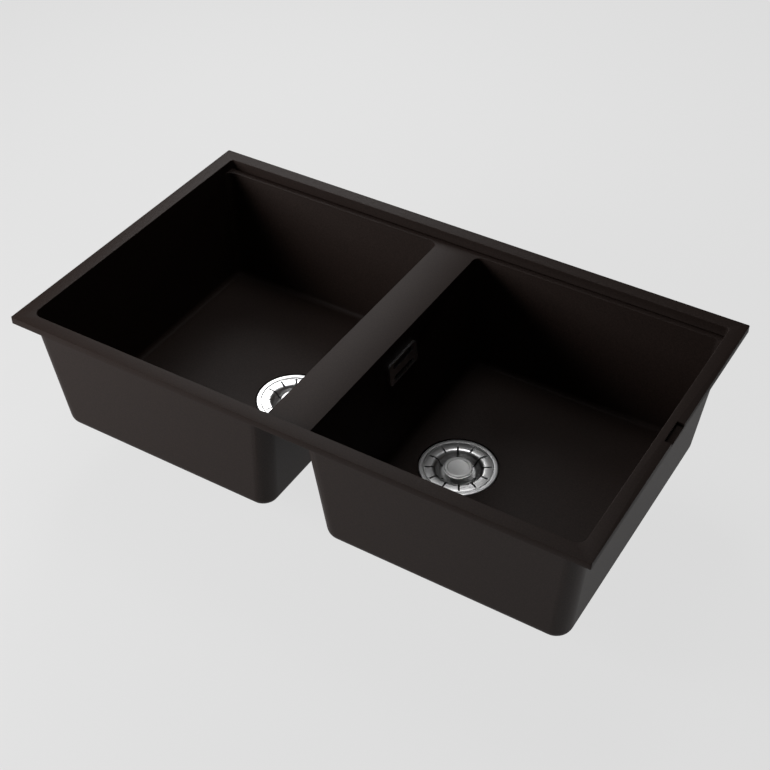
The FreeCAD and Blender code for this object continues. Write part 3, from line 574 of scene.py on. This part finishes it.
# Every other piece of the frame is shown as it is, with its own material.
def dressFrame():
    slotOf = {part["node"]: part["material_slot"] for part in frame["record"]["subparts"]}
    for name, node in nodes.items():
        node.data.materials.clear()
        node.data.materials.append(slotMaterials[slotOf[name]])
        bm = bmesh.new()
        bm.from_mesh(node.data)
        sharpen(bm)
        bm.to_mesh(node.data)
        bm.free()


dressFrame()
print("frame nodes dressed", len(nodes))


# Floor, light and camera

# One where the camera or a shiny piece looks at the surface, and nought for the light that it gives.
def seenDirectly(tree):
    ray = addNode(tree, "ShaderNodeLightPath")
    seen = addNode(tree, "ShaderNodeMath", operation="MAXIMUM")
    tree.links.new(ray.outputs["Is Camera Ray"], seen.inputs[0])
    tree.links.new(ray.outputs["Is Glossy Ray"], seen.inputs[1])
    return seen.outputs[0]


# Pale paper that takes the shadow, with a glow of its own that lights nothing.
def makeFloor():
    look = {"paper": 0.1, "glow": 0.7, "reach": 12.0, "drop": 0.002}
    reach = look["reach"]
    low = cadBox[0].z - look["drop"]
    mesh = bpy.data.meshes.new("floor")
    corners = [(-reach, -reach, low), (reach, -reach, low), (reach, reach, low), (-reach, reach, low)]
    mesh.from_pydata(corners, [], [(0, 1, 2, 3)])
    material, tree, shader = newMaterial("floorPaper")
    tree.nodes.remove(shader)
    paper = addNode(tree, "ShaderNodeBsdfDiffuse")
    paper.inputs["Color"].default_value = (look["paper"],) * 3 + (1,)
    glow = addNode(tree, "ShaderNodeEmission")
    glow.inputs["Color"].default_value = (look["glow"],) * 3 + (1,)
    tree.links.new(seenDirectly(tree), glow.inputs["Strength"])
    both = addNode(tree, "ShaderNodeAddShader")
    tree.links.new(paper.outputs[0], both.inputs[0])
    tree.links.new(glow.outputs[0], both.inputs[1])
    tree.links.new(both.outputs[0], tree.nodes["Material Output"].inputs["Surface"])
    meshObject("floor", mesh, material)


# The world keeps its default dark grey, a little stronger where it is seen than where it lights.
def makeWorld():
    look = {"ambient": 0.12, "seen": 0.79}
    world = bpy.data.worlds.new("studio")
    scene.world = world
    world.use_nodes = True
    tree = world.node_tree
    strength = addNode(tree, "ShaderNodeMapRange")
    strength.inputs["To Min"].default_value = look["ambient"]
    strength.inputs["To Max"].default_value = look["seen"]
    tree.links.new(seenDirectly(tree), strength.inputs["Value"])
    tree.links.new(strength.outputs["Result"], tree.nodes["Background"].inputs["Strength"])


def addLamp(name, place, target, size, power):
    lamp = bpy.data.lights.new(name, "AREA")
    lamp.shape = "SQUARE"
    lamp.size = size
    lamp.energy = power
    obj = bpy.data.objects.new(name, lamp)
    scene.collection.objects.link(obj)
    obj.location = place
    obj.rotation_euler = (Vector(target) - Vector(place)).to_track_quat("-Z", "Y").to_euler()


# The camera, fitted to the photograph's rim, bowls and drains.
def makeCamera():
    look = {"place": (0.7881, -1.2844, 1.1849), "yaw": -0.545, "pitch": 0.711, "lens": 66.586, "sensor": 36.0}
    yaw, pitch = look["yaw"], look["pitch"]
    view = Vector((math.sin(yaw) * math.cos(pitch), math.cos(yaw) * math.cos(pitch), -math.sin(pitch)))
    right = Vector((math.cos(yaw), -math.sin(yaw), 0))
    up = right.cross(view)
    camera = bpy.data.cameras.new("camera")
    camera.lens = look["lens"]
    camera.sensor_width = look["sensor"]
    camera.sensor_fit = "HORIZONTAL"
    obj = bpy.data.objects.new("camera", camera)
    scene.collection.objects.link(obj)
    turn = Matrix((right, up, -view)).transposed().to_4x4()
    obj.matrix_world = Matrix.Translation(look["place"]) @ turn
    scene.camera = obj


makeFloor()
makeWorld()
lamps = {
    "keyLamp": {"place": (-1.05, -1.0, 0.42), "target": (-0.3, -0.15, -0.05), "size": 0.6, "power": 13.0},
    "rearLamp": {"place": (-0.95, 1.05, 0.85), "target": (0.0, 0.0, 0.0), "size": 0.7, "power": 9.0},
    "overheadLamp": {"place": (-0.35, 0.6, 2.0), "target": (0.1, 0.0, -0.1), "size": 0.9, "power": 8.0},
}
for name, look in lamps.items():
    addLamp(name, **look)
makeCamera()
scene.view_settings.view_transform = "Standard"
print("stage set")
